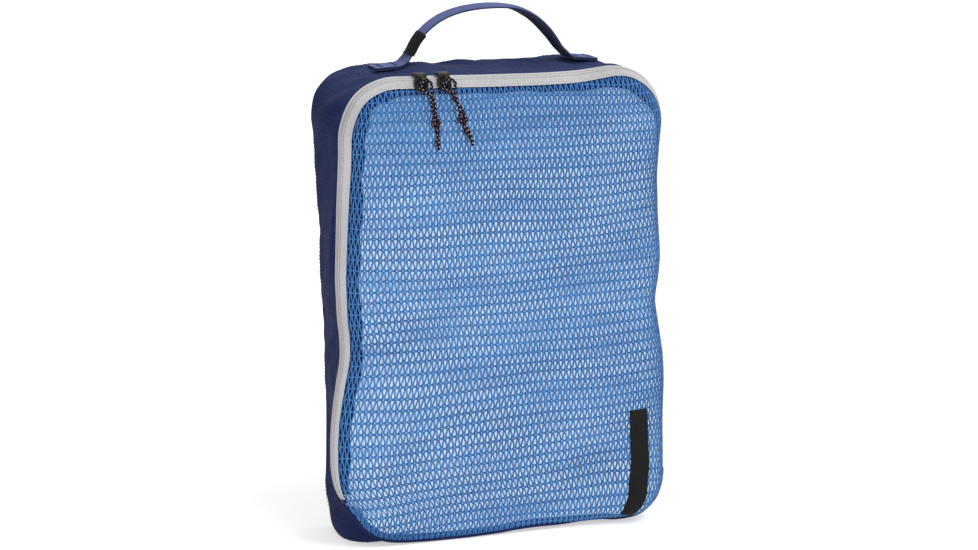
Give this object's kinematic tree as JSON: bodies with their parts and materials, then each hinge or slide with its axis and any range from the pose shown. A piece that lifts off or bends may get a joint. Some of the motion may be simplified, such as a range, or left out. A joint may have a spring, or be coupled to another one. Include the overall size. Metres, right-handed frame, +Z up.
{
  "type": "packing cube",
  "caption": "Soft rectangular packing cube standing on its narrow end, with a net front, a fabric gusset, a zip round three sides, cord pulls and a webbing top handle.",
  "frame": {"origin": "middle of the flat bottom, half way across the width and half way through the gusset's depth", "axes": "+Z up along the height, +X across the width to the right seen from the front, the net front faces -Y"},
  "size_m": [0.2582, 0.0867, 0.406],
  "materials": {
    "navy_fabric": "fine ripstop weave with a faint lighter fleck",
    "navy_webbing": "soft ribbed polyester webbing",
    "binding_tape": "thin woven binding",
    "net": "open warp-knit net with a slight sheen",
    "zip_tape": "light grey twill tape",
    "zip_coil": "moulded nylon coil",
    "slider_metal": "dark gunmetal plating with worn edges",
    "black_cord": "braided black cord with pale flecks",
    "black_label": "blank woven black label",
    "thread": "dense sewing thread"
  },
  "bodies": {
    "pouch": {"back_panel": "navy_fabric", "side_gusset": "navy_fabric", "bottom_gusset": "navy_fabric", "back_binding": "binding_tape", "front_binding": "binding_tape", "bottom_seam_binding": "binding_tape", "gusset_seam_tapes": "binding_tape", "outer_zip_tape": "zip_tape", "outer_zip_coil": "zip_coil", "zip_end_tabs": "navy_fabric", "mesh_apron": "net", "handle_foot_left": "navy_webbing", "handle_foot_right": "navy_webbing", "handle_bar_tacks": "thread", "handle_backing_patches": "navy_fabric"},
    "lid": {"mesh_panel": "net", "mesh_binding": "binding_tape", "inner_zip_tape": "zip_tape", "inner_zip_coil": "zip_coil", "side_label": "black_label"},
    "slider_left": {"slider_left": "slider_metal"},
    "slider_right": {"slider_right": "slider_metal"},
    "pull_left": {"bail_left": "slider_metal", "cord_left": "black_cord"},
    "pull_right": {"bail_right": "slider_metal", "cord_right": "black_cord"},
    "handle": {"handle_strap": "navy_webbing", "size_tag": "black_label"}
  },
  "joints": [
    {"name": "lid_fold", "type": "hinge", "parent": "pouch", "child": "lid", "pos_m": [0, -0.0356, 0.0383], "axis": [1, 0, 0], "range_deg": [0, 90], "stiffness_Nm_per_rad": 0.3},
    {"name": "slider_left_travel", "type": "slide", "parent": "lid", "child": "slider_left", "axis": [1, 0, 0], "range_m": [-0.012, 0]},
    {"name": "slider_right_travel", "type": "slide", "parent": "lid", "child": "slider_right", "axis": [1, 0, 0], "range_m": [0, 0.108]},
    {"name": "pull_left_flip", "type": "hinge", "parent": "slider_left", "child": "pull_left", "pos_m": [-0.065, -0.04075, 0.357], "axis": [-1, 0, 0], "range_deg": [0, 150]},
    {"name": "pull_right_flip", "type": "hinge", "parent": "slider_right", "child": "pull_right", "pos_m": [-0.047, -0.04075, 0.357], "axis": [-1, 0, 0], "range_deg": [0, 150]},
    {"name": "handle_lean", "type": "hinge", "parent": "pouch", "child": "handle", "pos_m": [0, 0.005, 0.362], "axis": [1, 0, 0], "range_deg": [-40, 40], "stiffness_Nm_per_rad": 0.05}
  ]
}
